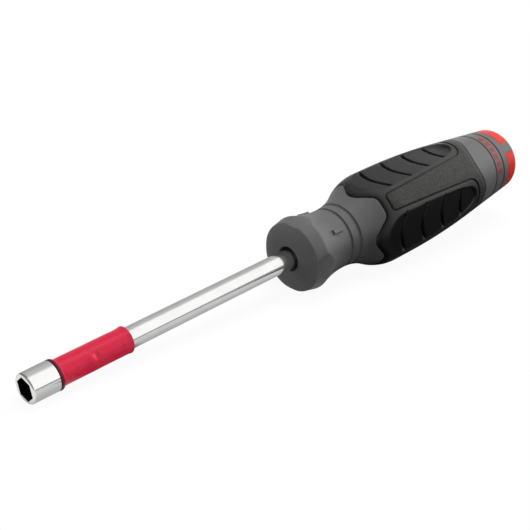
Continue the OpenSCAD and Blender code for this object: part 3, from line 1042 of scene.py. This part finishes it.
def make_marks():
    """Plain red marks moulded in the tail band on both panel sides."""
    middle = sum(TAIL_GROOVES) / 2
    h = steps(middle - MARK_L / 2, middle + MARK_L / 2, 13)
    radius = float(handle_r(middle))
    half = math.degrees(MARK_W / 2 / radius)
    edge_drop = 0.7 * MARK_RISE
    marks = []
    for side in (0, 180):
        for i in range(MARK_COUNT):
            aside = (i - (MARK_COUNT - 1) / 2) * MARK_PITCH
            centre = PANEL_TURN + side + math.degrees(aside / radius)
            turn = np.linspace(centre - half, centre + half, 11)[None, :]
            top = handle_r(h) + MARK_RISE + 0 * turn
            top[[0, -1]] -= edge_drop
            top[:, [0, -1]] -= edge_drop
            marks.append(plate_mesh("mark", h, turn, top, handle_r(h) - MARK_ROOT + 0 * turn))
    return join_meshes("marks", marks)


# Stage

def make_camera():
    """Camera at the photograph's viewing angle."""
    aim = Vector(CAMERA_AIM)
    level = Vector((0, 0, 1)).cross(CAMERA_BACK).normalized()
    right = Matrix.Rotation(CAMERA_ROLL, 3, CAMERA_BACK) @ level
    up = CAMERA_BACK.cross(right)
    shift = right * CAMERA_SHIFT[0] + up * CAMERA_SHIFT[1]
    place = (aim + shift + CAMERA_BACK * CAMERA_DISTANCE) * MM
    data = bpy.data.cameras.new("camera")
    data.lens = CAMERA_LENS
    data.clip_start = 0.01
    camera = bpy.data.objects.new("camera", data)
    axes = Matrix((right, up, CAMERA_BACK)).transposed()
    camera.matrix_world = Matrix.Translation(place) @ axes.to_4x4()
    bpy.context.scene.collection.objects.link(camera)
    bpy.context.scene.camera = camera


def add_softbox(name, place, size, power):
    """A square soft light at a place in millimetres, turned to the tool's middle."""
    data = bpy.data.lights.new(name, "AREA")
    data.shape = "RECTANGLE"
    data.size = data.size_y = size * MM
    data.energy = power
    light = bpy.data.objects.new(name, data)
    light.location = Vector(place) * MM
    light.rotation_euler = (Vector(place) - Vector(LIGHT_AIM)).to_track_quat("Z", "Y").to_euler()
    light.visible_glossy = False
    bpy.context.scene.collection.objects.link(light)


class Stage(Nodes):
    """Nodes of the floor or the world, which treat each kind of ray by itself."""

    def __init__(self, owner):
        super().__init__(owner)
        self.tree.nodes.clear()

    def over(self, place, start, end, a, b):
        """A value that goes from a to b between two places in millimetres."""
        return self.remap(place, start * MM, end * MM, a, b)

    def blend(self, share, a, b):
        return self.add("ShaderNodeMix", {"Factor": share, "A": a, "B": b}).outputs["Result"]

    def times(self, *values):
        """Product of several values."""
        total = values[0]
        for value in values[1:]:
            total = self.math("MULTIPLY", total, value)
        return total

    def shaders(self, share, a, b):
        return self.add("ShaderNodeMixShader", {0: share, 1: a.outputs[0], 2: b.outputs[0]})

    def rays(self, *kinds):
        """1 for rays of the given kinds, else 0."""
        path = self.add("ShaderNodeLightPath").outputs
        total = path[kinds[0]]
        for kind in kinds[1:]:
            total = self.math("MAXIMUM", total, path[kind])
        return total

    def mirror_rays(self):
        return self.rays("Is Glossy Ray", "Is Transmission Ray")


def mirrored_floor(n, x, y):
    """Brightness of the floor in metal: darker near the tool, with painted shadows by the sleeve
    and handle.
    """
    sides = n.math("ADD", n.over(y, -20, 4, 0.68, 0.42), n.over(y, 60, 160, 0.0, 0.33))
    sides = n.blend(n.over(x, -4, 2, 1.0, 0.0), sides, 0.9)
    from_sleeve = n.math("ABSOLUTE", n.math("SUBTRACT", x, SLEEVE_SHADE_AT * MM))
    # Painted shadow of the sleeve on the floor.
    sleeve = n.times(n.over(from_sleeve, 8, 15, 0.9, 0.0), n.over(y, -30, -20, 0.0, 1.0))
    # Painted shadow of the handle on the floor.
    handle = n.times(n.over(x, REACH + 8, REACH + 22, 0.0, 0.95),
                     n.over(y, -120, -90, 0.0, 1.0), n.over(y, 30, 60, 1.0, 0.0))
    shade = n.math("SUBTRACT", 1.0, n.math("MAXIMUM", sleeve, handle))
    return n.times(sides, shade)


def floor_material():
    """Pale paper: near white to the camera, grey in the light that it returns, with painted shade
    under the handle.
    """
    n = Stage(bpy.data.materials.new("floor_paper"))
    where = n.split(n.add("ShaderNodeTexCoord").outputs["Object"])
    seen = n.add("ShaderNodeEmission", {"Strength": 1.1})
    paper = n.add("ShaderNodeBsdfDiffuse", {"Color": (0.5, 0.5, 0.5, 1)})
    # Light that the floor bounces carries painted shade, darker from the sleeve back towards the
    # handle.
    shaded_bounce = n.add("ShaderNodeBsdfDiffuse", {"Color": n.over(where["X"], 30, 75, 0.85, 0.28)})
    mirrored = n.add("ShaderNodeEmission", {"Strength": mirrored_floor(n, where["X"], where["Y"])})
    lit = n.shaders(n.rays("Is Camera Ray"), shaded_bounce, n.shaders(0.85, paper, seen))
    whole = n.shaders(n.mirror_rays(), lit, mirrored)
    n.add("ShaderNodeOutputMaterial", {"Surface": whole.outputs[0]})
    return n.owner


def make_floor():
    """Floor under the tool as it lies: on the socket's rim and the belly."""
    low_front = node_box("drive_socket")[0][2]
    low_belly = node_box("soft_grip")[0][2]
    slope = (low_belly - low_front) / (REACH + BELLY_AT + BELLY_L / 2)
    signs = ((-1, -1), (1, -1), (1, 1), (-1, 1))
    corners = np.array([(x, y, low_front / FLOOR_HALF + slope * x) for x, y in signs]) * FLOOR_HALF
    mesh = new_mesh("floor", corners, [(0, 1, 2, 3)])
    mesh.materials.append(floor_material())
    floor = bpy.data.objects.new("floor", mesh)
    bpy.context.scene.collection.objects.link(floor)


def make_world():
    """White surround, in which metal sees more than one tone.

    It sees a bright wall at the front, grey behind, a bright strip past the butt and a dark
    horizon in front.
    """
    world = bpy.data.worlds.new("studio")
    bpy.context.scene.world = world
    world.cycles.sampling_method = "NONE"
    n = Stage(world)
    way = n.split(n.add("ShaderNodeTexCoord").outputs["Generated"])
    x, y, z = way["X"], way["Y"], way["Z"]
    back = n.times(n.remap(z, 0.0, 1.0, 0.52, 0.78), n.remap(x, 0.0, 0.45, 0.45, 1.0))
    wall = n.times(n.remap(y, 0.0, 0.4, 1.0, 0.0), n.remap(x, -0.45, -0.2, 0.03, 1.0))
    rear = n.times(n.remap(x, 0.68, 0.84, 0.0, 1.9), n.remap(z, 0.03, 0.23, 1.0, 0.0))
    horizon = n.math("MAXIMUM", n.remap(z, 0.03, 0.10, 0.15, 1.0), n.remap(y, -0.2, 0.2))
    mirrored = n.times(n.math("ADD", n.blend(wall, back, WALL_LEVEL), rear), horizon)
    level = n.blend(n.mirror_rays(), AMBIENT_LEVEL, mirrored)
    level = n.blend(n.rays("Is Camera Ray"), level, 1.0)
    surround = n.add("ShaderNodeBackground", {"Strength": level})
    n.add("ShaderNodeOutputWorld", {"Surface": surround.outputs[0]})


def main():
    make_camera()
    socket_chrome = chrome_material("socket_chrome", 0.05, 0.12)
    shank_chrome = chrome_material("shank_chrome", 0.07, 0.13)
    core_red = red_material("core_red_plastic", (0.85, 0.036, 0.022))
    mark_red = red_material("mark_red_plastic", (0.48, 0.036, 0.028))
    vinyl, satin, rubber = sleeve_material(), shell_material(), grip_material()
    add_piece("chrome_socket", make_socket(), socket_chrome,
              node="drive_socket", crease=30)
    add_piece("hollow_shank", make_shank(), shank_chrome, node="shank")
    add_piece("vinyl_sleeve", make_sleeve(), vinyl, node="colour_sleeve")
    add_piece("core_moulding", make_core(), core_red, node="handle_core")
    add_piece("shell_moulding", make_shell(), satin, node="handle_shell", crease=50)
    add_piece("grip_moulding", make_grip(), rubber, node="soft_grip", crease=60)
    add_piece("tail_marks", make_marks(), mark_red)
    make_floor()
    make_world()
    add_softbox("top_softbox", place=(520, 60, 1650), size=1100, power=21.6)
    add_softbox("right_softbox", place=(1400, -360, 240), size=650, power=15.0)
    add_softbox("left_softbox", place=(-450, 520, 240), size=450, power=1.6)
    bpy.context.scene.view_settings.view_transform = "Standard"


main()
